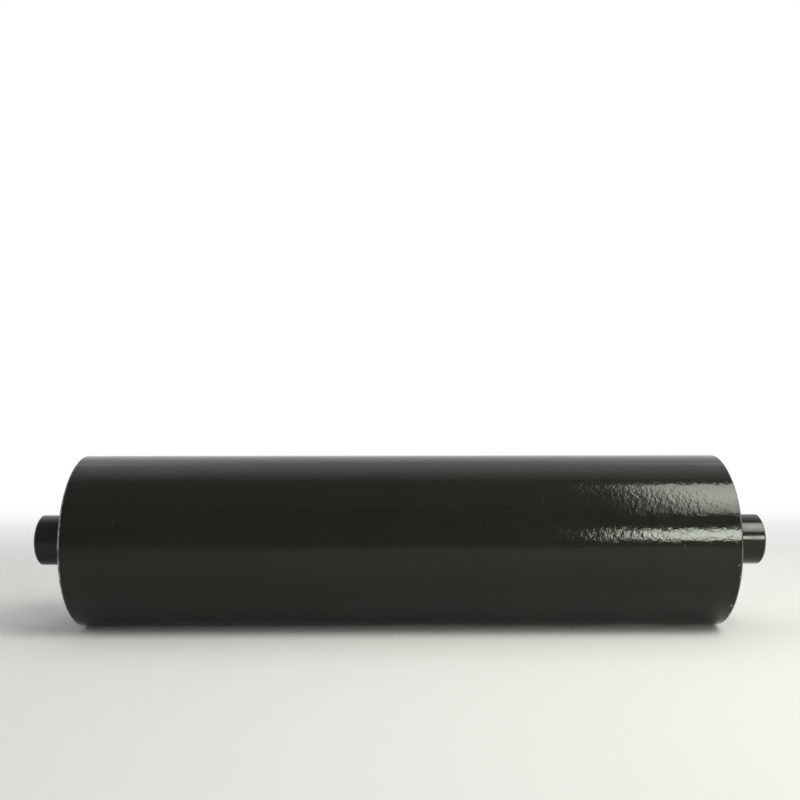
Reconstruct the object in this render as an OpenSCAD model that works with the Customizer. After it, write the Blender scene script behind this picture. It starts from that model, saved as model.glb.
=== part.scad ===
// Steel idler roller for a belt conveyor.
//
// A painted tube turns on a fixed shaft. A pressed steel housing is welded into each end
// of the tube and carries a deep groove ball bearing, sealed by a labyrinth on the outside
// and by a lip seal on the inside. A circlip on each end of the shaft holds the stack.
// The shaft ends are slotted on one side, to drop into the brackets of a roller frame.
//
// The roller lies along X with its middle at the origin, +Z is up, and the slots face +Y.
// Sections of the end parts are drawn as [radius, depth], where depth runs inward along
// the axis from the end face of the tube.

/* [Tube] */
// Outside diameter of the tube
tube_od = 102; // [92:0.5:140]
// Wall thickness of the tube
tube_wall = 4; // [3:0.25:5]
// Length of the tube
tube_length = 380; // [160:1:1400]
// Chamfer on the outer edge of each tube end
tube_edge_chamfer = 1; // [0.3:0.1:2]
// Chamfer on the inner edge of each tube end
tube_bore_chamfer = 0.5; // [0.2:0.1:1.2]

/* [Shaft] */
// Diameter of the bright drawn shaft, and bore of the bearings
shaft_d = 30; // [26:0.5:33]
// Length of shaft that stands out of each tube end
stub_length = 27; // [22:0.5:60]
// Chamfer on each end of the shaft
shaft_chamfer = 1; // [0.3:0.1:2]
// Length of the round collar between a slot and the end of the shaft
collar_length = 3; // [2:0.5:8]
// Width of each milled slot, along the shaft
slot_width = 9; // [5:0.5:14]
// Depth of each milled slot
slot_depth = 3; // [1:0.25:5]
// Diameter of the pilot hole of each centre drilling
centre_pilot_d = 5; // [2:0.5:6]
// Diameter of the countersink of each centre drilling
centre_mouth_d = 10.6; // [7:0.1:14]
// Depth of the pilot hole of each centre drilling
centre_depth = 12; // [8:0.5:16]

/* [Bearing] */
// Outside diameter of the bearing
bearing_od = 72; // [65:0.5:79]
// Width of the bearing
bearing_width = 19; // [17:0.5:24]
// Chamfer on the corners of the bearing rings
bearing_chamfer = 1; // [0.4:0.1:1.5]
// Number of balls in each bearing
ball_count = 8; // [6:1:9]
// Diameter of the balls
ball_d = 12.3; // [10.5:0.1:14]
// Height of each ring shoulder above the bottom of its raceway
shoulder_height = 2.6; // [1.5:0.1:3]
// How much larger the radius of a raceway groove is than the radius of the balls
race_relief = 0.25; // [0.1:0.05:0.4]

/* [Ball cage] */
// Radial thickness of the moulded cage
cage_wall = 5; // [3:0.25:6]
// Thickness of the cage behind the balls
cage_back = 1.6; // [1:0.1:2]
// Reach of the cage horns past the centres of the balls
cage_horn = 2.4; // [1:0.1:3.5]
// Width of the relief between the two horns that share a web
cage_relief = 2.4; // [1:0.1:3]

/* [Housing] */
// Sheet thickness of the pressed housing
housing_sheet = 2.5; // [2:0.1:3]
// Inside radius of the bends in the housing
housing_bend = 1.5; // [0.5:0.1:1.7]
// Depth of the housing face below the end face of the tube
housing_recess = 4; // [3:0.25:8]
// Length of the housing rim that is pressed into the tube
housing_rim = 16; // [12:0.5:30]
// Diameter of the hole in the bottom of the housing cup
housing_hole_d = 44; // [38:0.5:52]
// Radius of the weld bead between the housing and the tube
weld_radius = 2.2; // [1.5:0.1:2.4]

/* [Seals] */
// Depth of the dust cover hub face below the end face of the tube
cover_recess = 7; // [6:0.25:9]
// Sheet thickness of the dust cover
cover_sheet = 2; // [1:0.1:2.5]
// Height of the raised ring of the dust cover
cover_step = 1.5; // [0.5:0.1:2]
// Width of the flat hub face of the dust cover
cover_hub = 8; // [6:0.25:10]
// Length of the dust cover rim, from its raised face
cover_rim = 6.5; // [4:0.25:8]
// Axial room of the labyrinth, from the dust cover to the bearing
labyrinth_room = 13; // [12:0.5:18]
// Thickness of the labyrinth discs
labyrinth_disc = 1.8; // [1:0.1:2.2]
// Thickness of each labyrinth fin
labyrinth_fin = 1.2; // [0.8:0.1:1.4]
// Number of fins on each labyrinth ring
labyrinth_fins = 3; // [1:1:3]
// Wall of the labyrinth hub on the shaft
labyrinth_hub = 3; // [2:0.25:3.5]
// Wall of the labyrinth ring in the housing
labyrinth_wall = 2.5; // [1.5:0.25:3.5]
// Thickness of the inner seal flange, between bearing and housing
inner_seal_flange = 2; // [1.5:0.1:3]
// Thickness of the inner seal disc and sleeve
inner_seal_wall = 1.2; // [0.8:0.1:1.5]
// Reach of the inner seal sleeve past the bottom of the housing
inner_seal_reach = 2; // [0.5:0.25:6]

/* [Circlip] */
// Thickness of the circlip
circlip_t = 1.5; // [1:0.1:2]
// Depth of the circlip groove in the shaft
circlip_groove = 0.7; // [0.5:0.05:1]
// Radial width of the circlip at its back
circlip_back = 4.2; // [3:0.1:5]
// Radial width of the circlip beside its lugs
circlip_front = 2.6; // [2:0.1:3]
// Radius of the circlip lugs
circlip_lug = 2.6; // [2:0.1:3]
// Diameter of the plier holes in the lugs
circlip_hole_d = 2; // [1:0.1:2.5]
// Half angle of the gap in the circlip
circlip_gap = 9; // [6:1:20]

/* [Fits] */
// Radial clearance of what is pressed onto the shaft or into the housing
seat_fit = 0.02; // [0.01:0.01:0.05]
// Clearance between the balls and each raceway
race_clearance = 0.03; // [0.01:0.01:0.08]
// Clearance between the balls and the cage pockets
pocket_clearance = 0.15; // [0.1:0.01:0.25]
// Clearance of the circlip in its groove, along the shaft
circlip_play = 0.05; // [0.02:0.01:0.1]
// Gap between the turning and the fixed seal parts
running_gap = 0.6; // [0.4:0.05:0.8]
// Gap between the seal lips and the shaft
lip_gap = 0.4; // [0.3:0.05:0.8]

/* [Hidden] */
SIDES = ["left", "right"];
$fn = 96;

PAINT = "#22221d";
STEEL = "#b9bcc0";
BALL_STEEL = "#d9dcdf";
NYLON = "#2f3a46";
CAGE_NYLON = "#d8d0b4";
SEAL_RUBBER = "#3a2620";
SPRING_STEEL = "#4a4744";

tube_r = tube_od / 2;
bore_r = tube_r - tube_wall;
shaft_r = shaft_d / 2;
shaft_length = tube_length + 2 * stub_length;
seat_r = shaft_r + seat_fit;
cup_r = bearing_od / 2 + seat_fit;

// Depths along the axis, in the order of the stack
cover_top = cover_recess - cover_step;
hub_depth = cover_recess + cover_sheet;
bearing_depth = hub_depth + labyrinth_room;
bearing_end = bearing_depth + bearing_width;
cup_depth = bearing_end + inner_seal_flange;

// Raceways: the balls run half way between the bore and the outside of the bearing
ball_r = ball_d / 2;
pitch_r = (bearing_od / 2 + shaft_r) / 2;
race_r = ball_r + race_relief;
outer_race_r = pitch_r + ball_r + race_clearance;
inner_race_r = pitch_r - ball_r - race_clearance;
outer_land_r = outer_race_r - shoulder_height;
inner_land_r = inner_race_r + shoulder_height;

// Housing bends: two of them share the ring between the cup and the tube
rim_r = bore_r - seat_fit;
bend_in = min(housing_bend, (rim_r - cup_r) / 2 - housing_sheet);
bend_out = bend_in + housing_sheet;

// Labyrinth: the fins and the gaps between them share the ring between hub and wall
hub_r = seat_r + labyrinth_hub;
wall_r = cup_r - seat_fit - labyrinth_wall;
fin_gap = (wall_r - hub_r - 2 * labyrinth_fins * labyrinth_fin) / (2 * labyrinth_fins + 1);
fin_step = labyrinth_fin + fin_gap;
outer_disc_depth = cover_top + cover_rim + running_gap;
inner_disc_end = bearing_depth - running_gap;

// A section that reaches past the edge it cuts
CUT = 1;

// Places a part at both ends alike: drawn from the end face inward, then turned onto X
module at_end(side)
    mirror([side == "left" ? 1 : 0, 0, 0])
        translate([tube_length / 2, 0, 0])
            rotate([0, -90, 0])
                children();

// A rectangle of a section, between two radii and two depths
module band(r_from, r_to, depth_from, depth_to)
    translate([r_from, depth_from])
        square([r_to - r_from, depth_to - depth_from]);

// The same with all four corners chamfered
module chamfered_band(r_from, r_to, depth_from, depth_to, c)
    polygon([
        [r_from + c, depth_from], [r_to - c, depth_from],
        [r_to, depth_from + c], [r_to, depth_to - c],
        [r_to - c, depth_to], [r_from + c, depth_to],
        [r_from, depth_to - c], [r_from, depth_from + c]
    ]);

// A quarter of a bend in sheet metal, around the point at the given radius and depth
module bend(r, depth, inner, sheet, turn)
    translate([r, depth])
        rotate(turn)
            intersection() {
                difference() {
                    circle(inner + sheet);
                    circle(inner);
                }
                square(inner + sheet);
            }

module shell_tube()
    color(PAINT)
        rotate([0, 90, 0])
            rotate_extrude()
                polygon([
                    [bore_r + tube_bore_chamfer, -tube_length / 2],
                    [tube_r - tube_edge_chamfer, -tube_length / 2],
                    [tube_r, -tube_length / 2 + tube_edge_chamfer],
                    [tube_r, tube_length / 2 - tube_edge_chamfer],
                    [tube_r - tube_edge_chamfer, tube_length / 2],
                    [bore_r + tube_bore_chamfer, tube_length / 2],
                    [bore_r, tube_length / 2 - tube_bore_chamfer],
                    [bore_r, -tube_length / 2 + tube_bore_chamfer]
                ]);

// What is turned off one end of the shaft: end chamfer, circlip groove, centre drilling
module shaft_end_cuts() {
    groove_depth = cover_recess - circlip_t - circlip_play;
    rotate_extrude()
        polygon([
            [shaft_r - shaft_chamfer, -stub_length],
            [shaft_r - shaft_chamfer, -stub_length - CUT],
            [shaft_r + CUT, -stub_length - CUT],
            [shaft_r + CUT, -stub_length + shaft_chamfer],
            [shaft_r, -stub_length + shaft_chamfer]
        ]);
    rotate_extrude()
        band(shaft_r - circlip_groove, shaft_r + CUT,
             groove_depth, groove_depth + circlip_t + 2 * circlip_play);
    mouth_depth = (centre_mouth_d - centre_pilot_d) / 2 / tan(30);
    rotate_extrude()
        polygon([
            [0, -stub_length - CUT],
            [centre_mouth_d / 2, -stub_length - CUT],
            [centre_mouth_d / 2, -stub_length],
            [centre_pilot_d / 2, -stub_length + mouth_depth],
            [centre_pilot_d / 2, -stub_length + centre_depth],
            [0, -stub_length + centre_depth + centre_pilot_d / 2 / tan(59)]
        ]);
}

// The milled slot, square across the back of one end of the shaft
module shaft_slot()
    translate([-shaft_r - CUT, shaft_r - slot_depth, -stub_length + collar_length])
        cube([shaft_d + 2 * CUT, slot_depth + CUT, slot_width]);

module shaft()
    color(PAINT)
        difference() {
            rotate([0, 90, 0])
                cylinder(h = shaft_length, r = shaft_r, center = true);
            for (side = SIDES)
                at_end(side) {
                    shaft_end_cuts();
                    shaft_slot();
                }
        }

// Section of the pressed housing: rim in the tube, face, cup wall and cup bottom
module housing_section() {
    turn_depth = housing_recess + bend_out;
    band(rim_r - housing_sheet, rim_r, turn_depth, housing_recess + housing_rim);
    bend(rim_r - bend_out, turn_depth, bend_in, housing_sheet, -90);
    band(cup_r + bend_out, rim_r - bend_out, housing_recess, housing_recess + housing_sheet);
    bend(cup_r + bend_out, turn_depth, bend_in, housing_sheet, 180);
    band(cup_r, cup_r + housing_sheet, turn_depth, cup_depth - bend_in);
    bend(cup_r - bend_in, cup_depth - bend_in, bend_in, housing_sheet, 0);
    band(housing_hole_d / 2, cup_r - bend_in, cup_depth, cup_depth + housing_sheet);
}

module housing(side)
    color(PAINT)
        at_end(side)
            rotate_extrude()
                housing_section();

// The bead lies in the groove between the tube and the rounded shoulder of the housing
module weld(side) {
    shoulder = [rim_r - bend_out, housing_recess + bend_out];
    bead = [bore_r - 0.7 * weld_radius, housing_recess + 0.5 * weld_radius];
    color(PAINT)
        at_end(side)
            rotate_extrude()
                difference() {
                    intersection() {
                        translate(bead)
                            circle(weld_radius);
                        band(shoulder[0], bore_r, 0, shoulder[1]);
                    }
                    translate(shoulder)
                        circle(bend_out);
                }
}

module bearing_outer_ring(side)
    color(STEEL)
        at_end(side)
            rotate_extrude()
                difference() {
                    chamfered_band(outer_land_r, bearing_od / 2,
                                   bearing_depth, bearing_end, bearing_chamfer);
                    translate([outer_race_r - race_r, bearing_depth + bearing_width / 2])
                        circle(race_r);
                }

module bearing_inner_ring(side)
    color(STEEL)
        at_end(side)
            rotate_extrude()
                difference() {
                    chamfered_band(seat_r, inner_land_r,
                                   bearing_depth, bearing_end, bearing_chamfer);
                    translate([inner_race_r + race_r, bearing_depth + bearing_width / 2])
                        circle(race_r);
                }

// Repeats its children once for each ball, around the bearing
module around_bearing(offset_angle = 0)
    translate([0, 0, bearing_depth + bearing_width / 2])
        for (i = [0 : ball_count - 1])
            rotate([0, 0, offset_angle + i * 360 / ball_count])
                children();

module bearing_balls(side)
    color(BALL_STEEL)
        at_end(side)
            around_bearing()
                translate([pitch_r, 0, 0])
                    sphere(ball_r);

// Moulded crown cage: a ring behind the balls, with two horns around each of them
module bearing_cage(side) {
    pocket_r = ball_r + pocket_clearance;
    inner_r = pitch_r - cage_wall / 2;
    outer_r = pitch_r + cage_wall / 2;
    middle = bearing_depth + bearing_width / 2;
    color(CAGE_NYLON)
        at_end(side)
            difference() {
                rotate_extrude()
                    band(inner_r, outer_r, middle - cage_horn, middle + pocket_r + cage_back);
                around_bearing()
                    translate([pitch_r, 0, 0])
                        sphere(pocket_r);
                around_bearing(180 / ball_count)
                    translate([inner_r - CUT, -cage_relief / 2, -cage_horn - CUT])
                        cube([cage_wall + 2 * CUT, cage_relief, 2 * cage_horn + CUT]);
            }
}

// Flange between bearing and housing, disc, and a sleeve with its lip near the shaft
module inner_seal(side) {
    sleeve_r = shaft_r + lip_gap;
    disc_depth = bearing_end + running_gap;
    flange_c = bend_in + seat_fit;
    land_r = outer_land_r + bearing_chamfer;
    color(SEAL_RUBBER)
        at_end(side)
            rotate_extrude() {
                polygon([
                    [land_r, bearing_end],
                    [bearing_od / 2, bearing_end],
                    [bearing_od / 2, cup_depth - flange_c],
                    [bearing_od / 2 - flange_c, cup_depth],
                    [land_r, cup_depth]
                ]);
                band(sleeve_r, land_r, disc_depth, disc_depth + inner_seal_wall);
                band(sleeve_r, sleeve_r + inner_seal_wall,
                     disc_depth, cup_depth + housing_sheet + inner_seal_reach);
            }
}

// Ring in the housing, against the bearing, with fins that point inward
module labyrinth_outer(side)
    color(NYLON)
        at_end(side)
            rotate_extrude() {
                band(wall_r, cup_r - seat_fit, outer_disc_depth, bearing_depth);
                band(hub_r + running_gap, wall_r,
                     outer_disc_depth, outer_disc_depth + labyrinth_disc);
                for (i = [0 : labyrinth_fins - 1])
                    let (r = hub_r + fin_gap + 2 * i * fin_step)
                        band(r, r + labyrinth_fin,
                             outer_disc_depth, inner_disc_end - labyrinth_disc - running_gap);
            }

// Ring on the shaft, between dust cover and bearing, with fins that point outward
module labyrinth_inner(side)
    color(NYLON)
        at_end(side)
            rotate_extrude() {
                rim = hub_r + 2 * labyrinth_fins * fin_step;
                band(seat_r, hub_r, hub_depth, bearing_depth);
                band(hub_r, rim, inner_disc_end - labyrinth_disc, inner_disc_end);
                for (i = [0 : labyrinth_fins - 1])
                    let (r = hub_r + fin_gap + (2 * i + 1) * fin_step)
                        band(r, r + labyrinth_fin,
                             outer_disc_depth + labyrinth_disc + running_gap, inner_disc_end);
            }

// Stepped sheet cover on the shaft, with a raised ring and a turned rim
module dust_cover(side) {
    edge_r = cup_r - running_gap;
    step_r = seat_r + cover_hub;
    round_r = cover_sheet / 2;
    color(PAINT)
        at_end(side)
            rotate_extrude()
                polygon([
                    [seat_r, cover_recess],
                    [step_r, cover_recess],
                    [step_r + cover_step, cover_top],
                    [edge_r - round_r, cover_top],
                    [edge_r, cover_top + round_r],
                    [edge_r, cover_top + cover_rim],
                    [edge_r - cover_sheet, cover_top + cover_rim],
                    [edge_r - cover_sheet, cover_top + cover_sheet],
                    [step_r + cover_step, cover_top + cover_sheet],
                    [step_r, hub_depth],
                    [seat_r, hub_depth]
                ]);
}

// Outline of the retaining ring: eccentric, open at the top, with a lug on each side
module circlip_outline() {
    inner_r = shaft_r - circlip_groove + seat_fit;
    shift = (circlip_back - circlip_front) / 2;
    lug_angle = circlip_gap + asin(circlip_lug / (inner_r + circlip_lug));
    difference() {
        union() {
            translate([-shift, 0])
                circle(inner_r + (circlip_back + circlip_front) / 2);
            for (turn = [-1, 1])
                rotate(turn * lug_angle)
                    translate([inner_r + circlip_lug, 0])
                        circle(circlip_lug);
        }
        circle(inner_r);
        polygon([
            [0, 0],
            2 * shaft_d * [cos(circlip_gap), sin(circlip_gap)],
            2 * shaft_d * [cos(circlip_gap), -sin(circlip_gap)]
        ]);
        for (turn = [-1, 1])
            rotate(turn * lug_angle)
                translate([inner_r + circlip_lug, 0])
                    circle(circlip_hole_d / 2);
    }
}

module circlip(side)
    color(SPRING_STEEL)
        at_end(side)
            translate([0, 0, cover_recess - circlip_t])
                linear_extrude(circlip_t)
                    circlip_outline();

shell_tube();
shaft();
for (side = SIDES) {
    housing(side);
    weld(side);
    bearing_outer_ring(side);
    bearing_inner_ring(side);
    bearing_balls(side);
    bearing_cage(side);
    inner_seal(side);
    labyrinth_outer(side);
    labyrinth_inner(side);
    dust_cover(side);
    circlip(side);
}
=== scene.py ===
"""Studio scene of a painted steel idler roller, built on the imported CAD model.

Lengths are in metres. The roller lies along X with its middle at the origin, and the
camera looks along +Y. Every finish is made of nodes on the CAD parts themselves.
"""
import math

import bpy
from mathutils import Euler, Matrix, Vector


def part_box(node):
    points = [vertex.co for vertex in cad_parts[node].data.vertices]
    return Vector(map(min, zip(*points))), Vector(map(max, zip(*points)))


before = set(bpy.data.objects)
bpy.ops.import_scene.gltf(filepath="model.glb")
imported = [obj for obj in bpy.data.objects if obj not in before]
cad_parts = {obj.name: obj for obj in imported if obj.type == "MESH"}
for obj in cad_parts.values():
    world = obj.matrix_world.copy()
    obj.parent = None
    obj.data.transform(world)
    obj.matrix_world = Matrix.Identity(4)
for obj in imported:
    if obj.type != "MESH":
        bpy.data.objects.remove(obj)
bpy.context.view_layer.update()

MM = 0.001
TUBE_LOW, TUBE_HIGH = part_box("shell_tube")
TUBE_END = TUBE_HIGH.x
TUBE_R = TUBE_HIGH.z
FLOOR_Z = TUBE_LOW.z


# ---------------------------------------------------------------- node helpers

# the colour sockets of a Mix node, by number because other sockets share their names
MIX_A, MIX_B, MIX_RESULT = 6, 7, 2


class Shader:
    """A material with short ways to add nodes and join them."""

    def __init__(self, name):
        self.material = bpy.data.materials.new(name)
        self.material.use_nodes = True
        self.tree = self.material.node_tree
        self.surface = self.tree.nodes["Principled BSDF"]
        self.coords = self.add("ShaderNodeTexCoord").outputs["Object"]

    def add(self, kind, **settings):
        node = self.tree.nodes.new(kind)
        for key, value in settings.items():
            setattr(node, key, value)
        return node

    def join(self, value, socket):
        """Puts a number, a colour or another node's output into a socket."""
        if isinstance(value, bpy.types.NodeSocket):
            self.tree.links.new(value, socket)
        else:
            socket.default_value = value

    def set(self, **inputs):
        """Sets sockets of the Principled shader: roughness=0.2, base_color=(r, g, b)."""
        for key, value in inputs.items():
            name = key.replace("_", " ").title().replace("Ior", "IOR")
            if isinstance(value, tuple):
                value = (*value, 1.0)
            self.join(value, self.surface.inputs[name])

    def math(self, operation, a, b=0.0, c=0.0):
        node = self.add("ShaderNodeMath", operation=operation)
        for value, socket in zip((a, b, c), node.inputs):
            self.join(value, socket)
        return node.outputs[0]

    def ramp(self, value, low, high, out_low=0.0, out_high=1.0):
        """Maps low..high of a value smoothly onto out_low..out_high."""
        node = self.add("ShaderNodeMapRange", interpolation_type="SMOOTHSTEP")
        for name, v in (("Value", value), ("From Min", low), ("From Max", high),
                        ("To Min", out_low), ("To Max", out_high)):
            self.join(v, node.inputs[name])
        return node.outputs[0]

    def mix(self, share, a, b):
        """Colour a where share is 0, b where it is 1."""
        node = self.add("ShaderNodeMix", data_type="RGBA")
        self.join(share, node.inputs["Factor"])
        for value, socket in ((a, node.inputs[MIX_A]), (b, node.inputs[MIX_B])):
            self.join((*value, 1.0) if isinstance(value, tuple) else value, socket)
        return node.outputs[MIX_RESULT]

    def noise(self, size, detail=2.0, rough=0.5, at=None):
        """Fractal noise, mostly 0.3 to 0.7, whose blobs are about size metres across."""
        node = self.add("ShaderNodeTexNoise")
        self.join(self.coords if at is None else at, node.inputs["Vector"])
        self.join(1.0 / size, node.inputs["Scale"])
        self.join(detail, node.inputs["Detail"])
        self.join(rough, node.inputs["Roughness"])
        return node.outputs["Fac"]

    def cells(self, size):
        """Distance to the nearest of many scattered points about size metres apart."""
        node = self.add("ShaderNodeTexVoronoi")
        self.join(self.coords, node.inputs["Vector"])
        self.join(1.0 / size, node.inputs["Scale"])
        return node.outputs["Distance"]

    def bump(self, height, depth, below=None):
        """A relief of the given depth in metres, on top of another one."""
        node = self.add("ShaderNodeBump")
        self.join(1.0, node.inputs["Strength"])
        self.join(depth, node.inputs["Distance"])
        self.join(height, node.inputs["Height"])
        if below is not None:
            self.join(below, node.inputs["Normal"])
        return node.outputs["Normal"]

    def split(self):
        """The object's x, y and z."""
        node = self.add("ShaderNodeSeparateXYZ")
        self.join(self.coords, node.inputs[0])
        return node.outputs

    def stretched(self, x, y, z):
        """Object coordinates with each axis multiplied by its factor."""
        node = self.add("ShaderNodeMapping")
        self.join(self.coords, node.inputs["Vector"])
        self.join((x, y, z), node.inputs["Scale"])
        return node.outputs[0]

    def on_a_line(self, value):
        """A point that moves with the given value alone, and so does noise read there."""
        node = self.add("ShaderNodeCombineXYZ")
        self.join(value, node.inputs[0])
        return node.outputs[0]

    def radius(self):
        """Distance from the axis of the roller."""
        _, y, z = self.split()
        return self.math("SQRT", self.math("MULTIPLY_ADD", y, y, self.math("MULTIPLY", z, z)))


# ---------------------------------------------------------------- finishes

PAINT_BLACK = (0.0062, 0.0062, 0.0038)
PAINT_BROWN = (0.0085, 0.0076, 0.0045)
PAINT_DUST = (0.020, 0.020, 0.016)
# light grey of bare steel at the edges, also painted on the tube's rim as a highlight
PAINT_WORN_AND_HIGHLIGHT = (0.34, 0.33, 0.31)
PAINT_IOR = 1.38
CLOUDS = 60 * MM
DUST_SPACING = 4 * MM
DUST_PATCHES = 20 * MM
DUST_HEIGHT = 0.05 * MM
SAGS = 20 * MM
PEEL_BLOBS = 2.6 * MM
GLOSS_PATCHES = 3.5 * MM

TUBE_CHAMFER = 1 * MM
TURNING_HEIGHT = 0.03 * MM
WELD_RIPPLES = 130
RIPPLE_HEIGHT = 0.06 * MM

RING_STEEL = (0.60, 0.61, 0.62)
BALL_STEEL = (0.75, 0.76, 0.77)
SPRING_STEEL = (0.105, 0.103, 0.10)
PALE_NYLON = (0.62, 0.57, 0.42)
DARK_NYLON = (0.03, 0.04, 0.06)
BLACK_RUBBER = (0.03, 0.02, 0.015)


def paint(name, peel, roughness, wear_and_highlight=None, under=None):
    """Glossy black oil paint: orange peel, faint clouds, dust nibs, bare edges with a painted
    highlight.

    peel is the depth of the orange peel. worn takes the shader and gives a share from 0
    to 1 for where the paint is off the metal and where a light grey highlight is painted,
    and under takes it and gives the relief of the metal that shows through the paint.
    """
    s = Shader(name)
    clouds = s.ramp(s.noise(CLOUDS, 3.0), 0.35, 0.7)
    colour = s.mix(clouds, PAINT_BLACK, PAINT_BROWN)
    nibs = s.ramp(s.cells(DUST_SPACING), 0.0, 0.12, 1.0, 0.0)
    dust = s.math("MULTIPLY", nibs, s.ramp(s.noise(DUST_PATCHES, 1.0), 0.44, 0.54))
    colour = s.mix(dust, colour, PAINT_DUST)
    rough = s.ramp(s.noise(GLOSS_PATCHES, 4.0, 0.65), 0.3, 0.75,
                   roughness * 0.75, roughness * 1.35)
    if wear_and_highlight is not None:
        # the edges get bare metal grey, part of it a painted highlight on the tube's rim
        share = wear_and_highlight(s)
        colour = s.mix(share, colour, PAINT_WORN_AND_HIGHLIGHT)
        rough = s.math("MULTIPLY_ADD", share, 0.25, rough)
    relief = s.bump(s.noise(SAGS, 1.0), peel * 1.2, under(s) if under else None)
    relief = s.bump(s.noise(PEEL_BLOBS, 2.5, 0.55), peel, relief)
    relief = s.bump(dust, DUST_HEIGHT, relief)
    s.set(base_color=colour, roughness=rough, ior=PAINT_IOR, normal=relief)
    return s.material


def tube_wear_and_highlight(s):
    """Bare metal where the paint has come off the chamfered outer edges of the tube, with a
    few chips beside them, and a painted highlight on the same edges.

    The light grey is partly real wear and partly painted highlight: it is strongest at the
    left end, at its front, which faces the camera.
    """
    x, y, _ = s.split()
    outward = s.math("ADD", s.math("ABSOLUTE", x), s.radius())
    inward = s.math("SUBTRACT", TUBE_END + TUBE_R, outward)
    edge = s.ramp(inward, TUBE_CHAMFER, 1.3 * TUBE_CHAMFER, 1.0, 0.0)
    patchy = s.ramp(s.noise(5 * MM, 4.0, 0.6), 0.42, 0.58, 0.25, 1.0)
    # painted highlight: the rim's grey is stronger at the left end and on the front, which
    # faces the camera
    side = s.ramp(x, -50 * MM, 50 * MM, 1.0, 0.2)
    front = s.ramp(y, -48.5 * MM, -44 * MM, 1.0, 0.5)
    edge_wear_and_highlight = s.math("MULTIPLY", s.math("MULTIPLY", edge, patchy),
                    s.math("MULTIPLY", side, front))
    chips = s.math("MULTIPLY", s.ramp(s.noise(6 * MM, 1.0), 0.71, 0.73),
                   s.ramp(inward, 2 * MM, 5 * MM, 0.3, 0.0))
    return s.math("MAXIMUM", edge_wear_and_highlight, chips)


def turning_marks(s):
    """Fine rings around the axis, which a lathe leaves on an end face."""
    return s.bump(s.noise(0.8 * MM, 2.0, 0.6, at=s.on_a_line(s.radius())), TURNING_HEIGHT)


def weld_ripples(s):
    """The ripples of a weld bead that runs around the axis."""
    _, y, z = s.split()
    wobble = s.math("MULTIPLY", s.noise(4 * MM, 2.0), 2.5)
    angle = s.math("ARCTAN2", y, z)
    wave = s.math("SINE", s.math("MULTIPLY_ADD", angle, WELD_RIPPLES, wobble))
    return s.bump(wave, RIPPLE_HEIGHT)


def ground_steel(name, colour, roughness):
    """Steel with fine ground lines around the axis of the roller."""
    s = Shader(name)
    lines = s.noise(0.6 * MM, 2.0, 0.6, at=s.stretched(1.0, 0.02, 0.02))
    tone = s.ramp(lines, 0.3, 0.7, 0.85, 1.1)
    dark = tuple(c * 0.82 for c in colour)
    s.set(base_color=s.mix(tone, dark, colour), metallic=1.0,
          roughness=s.ramp(lines, 0.3, 0.7, roughness * 0.8, roughness * 1.25))
    return s.material


def moulded(name, colour, roughness, grain):
    """Moulded plastic or rubber with a fine grain and a little variation."""
    s = Shader(name)
    tone = s.ramp(s.noise(10 * MM, 3.0), 0.3, 0.7)
    light = tuple(c * 1.35 + 0.002 for c in colour)
    rough = s.ramp(s.noise(1.5 * MM, 3.0), 0.3, 0.7, roughness * 0.85, roughness * 1.1)
    s.set(base_color=s.mix(tone, colour, light), roughness=rough,
          normal=s.bump(s.noise(0.5 * MM, 2.0), grain))
    return s.material


# the finish of each CAD node, by the start of the node's name
rings = ground_steel("steel_rings", RING_STEEL, 0.2)
FINISHES = {
    # the tube's edges have bare metal and a painted highlight in the same light grey
    "shell_tube": paint("paint_tube", 0.12 * MM, 0.1, tube_wear_and_highlight, turning_marks),
    "shaft": paint("paint_shaft", 0.04 * MM, 0.16, under=turning_marks),
    "housing": paint("paint_housing", 0.09 * MM, 0.18),
    "weld": paint("paint_weld", 0.08 * MM, 0.2, under=weld_ripples),
    "dust_cover": paint("paint_cover", 0.06 * MM, 0.2),
    "bearing_outer_ring": rings,
    "bearing_inner_ring": rings,
    "bearing_balls": ground_steel("steel_balls", BALL_STEEL, 0.06),
    "bearing_cage": moulded("nylon_cage", PALE_NYLON, 0.45, 0.01 * MM),
    "inner_seal": moulded("rubber_seal", BLACK_RUBBER, 0.6, 0.02 * MM),
    "labyrinth": moulded("nylon_labyrinth", DARK_NYLON, 0.4, 0.01 * MM),
    "circlip": ground_steel("spring_steel", SPRING_STEEL, 0.35),
}

for name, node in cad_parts.items():
    finish = next(m for key, m in FINISHES.items() if name.startswith(key))
    node.data.materials.clear()
    node.data.materials.append(finish)


# ---------------------------------------------------------------- floor and backdrop

PAPER = (0.88, 0.88, 0.88)
PAPER_SHADE = tuple(c * 0.985 for c in PAPER)
WALL_R, WALL_TOP, WALL_STEPS = 2.1, 2.35, 96
SWEEP_R, SWEEP_STEPS = 1.0, 24


def paper(name, white):
    """Matt paper that fades to plain white away from the roller.

    white takes the shader and gives the share of plain white, from 0 to 1. The camera,
    glossy surfaces and glass see it, and it lights nothing.
    """
    s = Shader(name)
    s.set(base_color=s.mix(s.noise(0.4, 2.0), PAPER, PAPER_SHADE), roughness=0.9,
          specular_ior_level=0.1)
    path = s.add("ShaderNodeLightPath").outputs
    seen = s.math("MAXIMUM", path["Is Camera Ray"],
                  s.math("MAXIMUM", path["Is Glossy Ray"], path["Is Transmission Ray"]))
    glow = s.add("ShaderNodeEmission")
    s.join(1.0, glow.inputs["Strength"])
    blend = s.add("ShaderNodeMixShader")
    s.join(s.math("MULTIPLY", seen, white(s)), blend.inputs[0])
    s.join(s.surface.outputs[0], blend.inputs[1])
    s.join(glow.outputs[0], blend.inputs[2])
    s.join(blend.outputs[0], s.tree.nodes["Material Output"].inputs["Surface"])
    return s.material


def floor_white(s):
    """The floor keeps its shadows near the roller and is white further back."""
    return s.ramp(s.split()[1], 0.12, 0.95)


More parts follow.
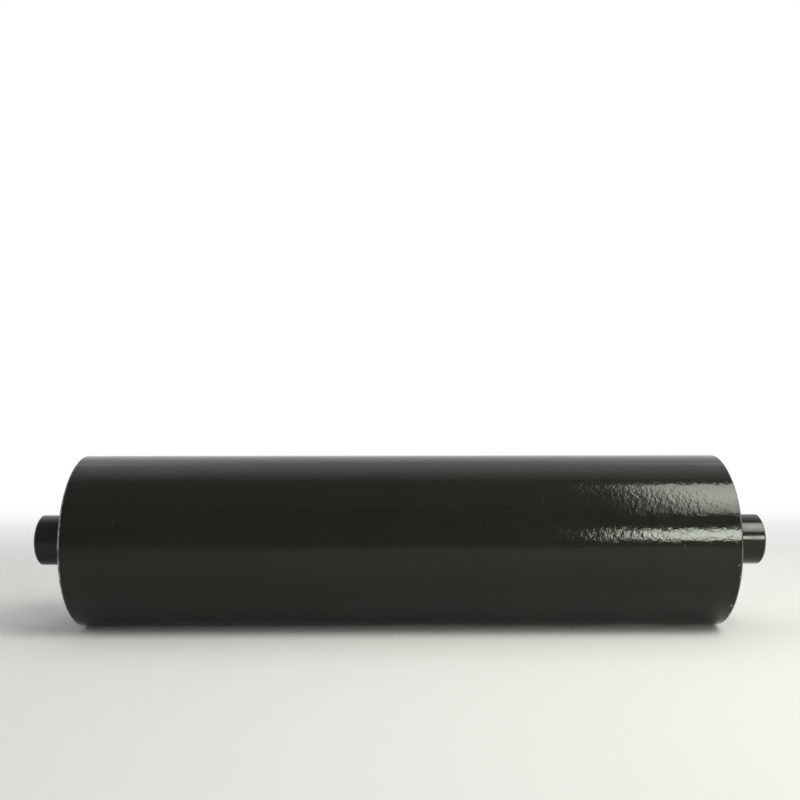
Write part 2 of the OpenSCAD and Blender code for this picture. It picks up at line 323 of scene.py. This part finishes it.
def backdrop_white(s):
    """The backdrop is white behind the roller and plain paper beside it and in front.

    Its foot takes over the floor's white, so that no line shows between them.
    """
    _, y, z = s.split()
    foot = floor_white(s)
    rise = s.ramp(z, FLOOR_Z, FLOOR_Z + SWEEP_R)
    behind = s.math("SUBTRACT", s.ramp(y, -0.3, 0.8), foot)
    return s.math("MULTIPLY_ADD", rise, behind, foot)


def ring(radius, height):
    """Points on a level circle around the roller."""
    return [(radius * math.cos(a), radius * math.sin(a), height)
            for a in (2 * math.pi * i / WALL_STEPS for i in range(WALL_STEPS))]


def stage_mesh(name, points, faces, material):
    mesh = bpy.data.meshes.new(name)
    mesh.from_pydata(points, [], faces)
    obj = bpy.data.objects.new(name, mesh)
    bpy.context.scene.collection.objects.link(obj)
    mesh.materials.append(material)
    return obj


stage_mesh("floor", ring(WALL_R - SWEEP_R, FLOOR_Z), [range(WALL_STEPS)],
           paper("floor_paper", floor_white))

# the backdrop is a round wall that encloses the roller, the lamps and the camera, and
# its foot sweeps into the floor
profile = [(WALL_R - SWEEP_R * (1 - math.sin(a)), FLOOR_Z + SWEEP_R * (1 - math.cos(a)))
           for a in (math.pi / 2 * i / SWEEP_STEPS for i in range(SWEEP_STEPS + 1))]
profile.append((WALL_R, WALL_TOP))
backdrop = stage_mesh(
    "backdrop",
    [point for radius, height in profile for point in ring(radius, height)],
    [(low + i, low + (i + 1) % WALL_STEPS,
      low + WALL_STEPS + (i + 1) % WALL_STEPS, low + WALL_STEPS + i)
     for low in range(0, WALL_STEPS * (len(profile) - 1), WALL_STEPS)
     for i in range(WALL_STEPS)],
    paper("backdrop_paper", backdrop_white))
backdrop.data.shade_smooth()


# ---------------------------------------------------------------- lamps

def softbox(name, x, elevation, distance, size, radiance,
            aim=0.0, spread=180, fade=None, tint=(1, 1, 1)):
    """An area lamp around the roller.

    It stands at x, at a distance from the axis: elevation 0 is in front of the roller,
    90 above it and 180 behind it. The lamp faces the axis at x = aim, with its first
    side along the roller. A spread under 180 is a honeycomb grid that keeps its light
    off the rest of the studio, and fade holds what feather takes.
    """
    e = math.radians(elevation)
    lamp = bpy.data.lights.new(name, "AREA")
    lamp.shape = "RECTANGLE"
    lamp.size, lamp.size_y = size
    lamp.color = tint
    lamp.energy = radiance * math.pi * lamp.size * lamp.size_y
    if spread < 180:
        # a grid keeps a lamp's power, so this keeps its brightness along its axis instead
        half = math.radians(spread / 2)
        lamp.spread = 2 * half
        lamp.energy *= 1 - half / math.tan(half)
    obj = bpy.data.objects.new(name, lamp)
    obj.location = (x, -distance * math.cos(e), distance * math.sin(e))
    back = (obj.location - Vector((aim, 0.0, 0.0))).normalized()
    upward = back.cross(Vector((1.0, 0.0, 0.0))).normalized()
    axes = Matrix((upward.cross(back), upward, back)).transposed()
    obj.rotation_euler = axes.to_euler()
    bpy.context.scene.collection.objects.link(obj)
    if fade:
        feather(lamp, **fade)


def feather(lamp, left, lean, low, power):
    """Makes a lamp weaker towards its left and its lower edge.

    left and low are the shares of the lamp over which its light grows, lean moves the
    left edge to the right at the lower end, and power bends the growth from below.
    """
    lamp.use_nodes = True
    tree = lamp.node_tree

    def math_node(operation, a, b, clamp=False):
        node = tree.nodes.new("ShaderNodeMath")
        node.operation, node.use_clamp = operation, clamp
        for value, socket in ((a, node.inputs[0]), (b, node.inputs[1])):
            if isinstance(value, bpy.types.NodeSocket):
                tree.links.new(value, socket)
            else:
                socket.default_value = value
        return node.outputs[0]

    where = tree.nodes.new("ShaderNodeNewGeometry").outputs["Parametric"]
    parts = tree.nodes.new("ShaderNodeSeparateXYZ")
    tree.links.new(where, parts.inputs[0])
    across, up = parts.outputs[0], parts.outputs[1]
    drift = math_node("MULTIPLY", math_node("SUBTRACT", 1.0, up), lean)
    side = math_node("DIVIDE", math_node("SUBTRACT", across, drift), left, clamp=True)
    side = math_node("POWER", side, 1.5)
    rise = math_node("POWER", math_node("DIVIDE", up, low, clamp=True), power)
    tree.links.new(math_node("MULTIPLY", side, rise),
                   tree.nodes["Emission"].inputs["Strength"])


# the two keys stand at the front right and make the two highlights there
softbox("key_high", x=0.592, elevation=61, distance=1.2, size=(0.446, 0.96),
        radiance=13.5, aim=0.15, spread=90, tint=(0.97, 1.0, 0.89),
        fade=dict(left=0.27, lean=0.25, low=0.6, power=0.12))
softbox("key_low", x=0.583, elevation=11.5, distance=1.2, size=(0.408, 0.275),
        radiance=22.5, aim=0.15, spread=60, tint=(0.92, 1.0, 0.85),
        fade=dict(left=0.2, lean=0.0, low=0.05, power=1.0))
softbox("overhead", x=0.0, elevation=110, distance=1.5, size=(1.8, 1.05),
        radiance=0.65, fade=dict(left=0.01, lean=0.0, low=0.5, power=0.7))
for name, x in (("side_left", -1.1), ("side_right", 1.1)):
    softbox(name, x, elevation=60, distance=0.9, size=(0.6, 0.6), radiance=1.2)

world = bpy.data.worlds.new("studio")
bpy.context.scene.world = world
world.use_nodes = True
sky = world.node_tree.nodes["Background"].inputs
sky["Color"].default_value = (1.0, 0.99, 0.96, 1.0)
sky["Strength"].default_value = 0.4


# ---------------------------------------------------------------- camera

# it stands a little above the roller and looks level, as in the photo
camera_data = bpy.data.cameras.new("camera")
camera_data.sensor_width = 36.0
camera_data.lens = 41.4
camera_data.shift_y = 0.0467
camera = bpy.data.objects.new("camera", camera_data)
camera.location = (-2.5 * MM, -559.3 * MM, 62.0 * MM)
camera.rotation_euler = Euler(map(math.radians, (90.0, 0.078, -0.242)))
bpy.context.scene.collection.objects.link(camera)
bpy.context.scene.camera = camera
bpy.context.scene.view_settings.view_transform = "Standard"
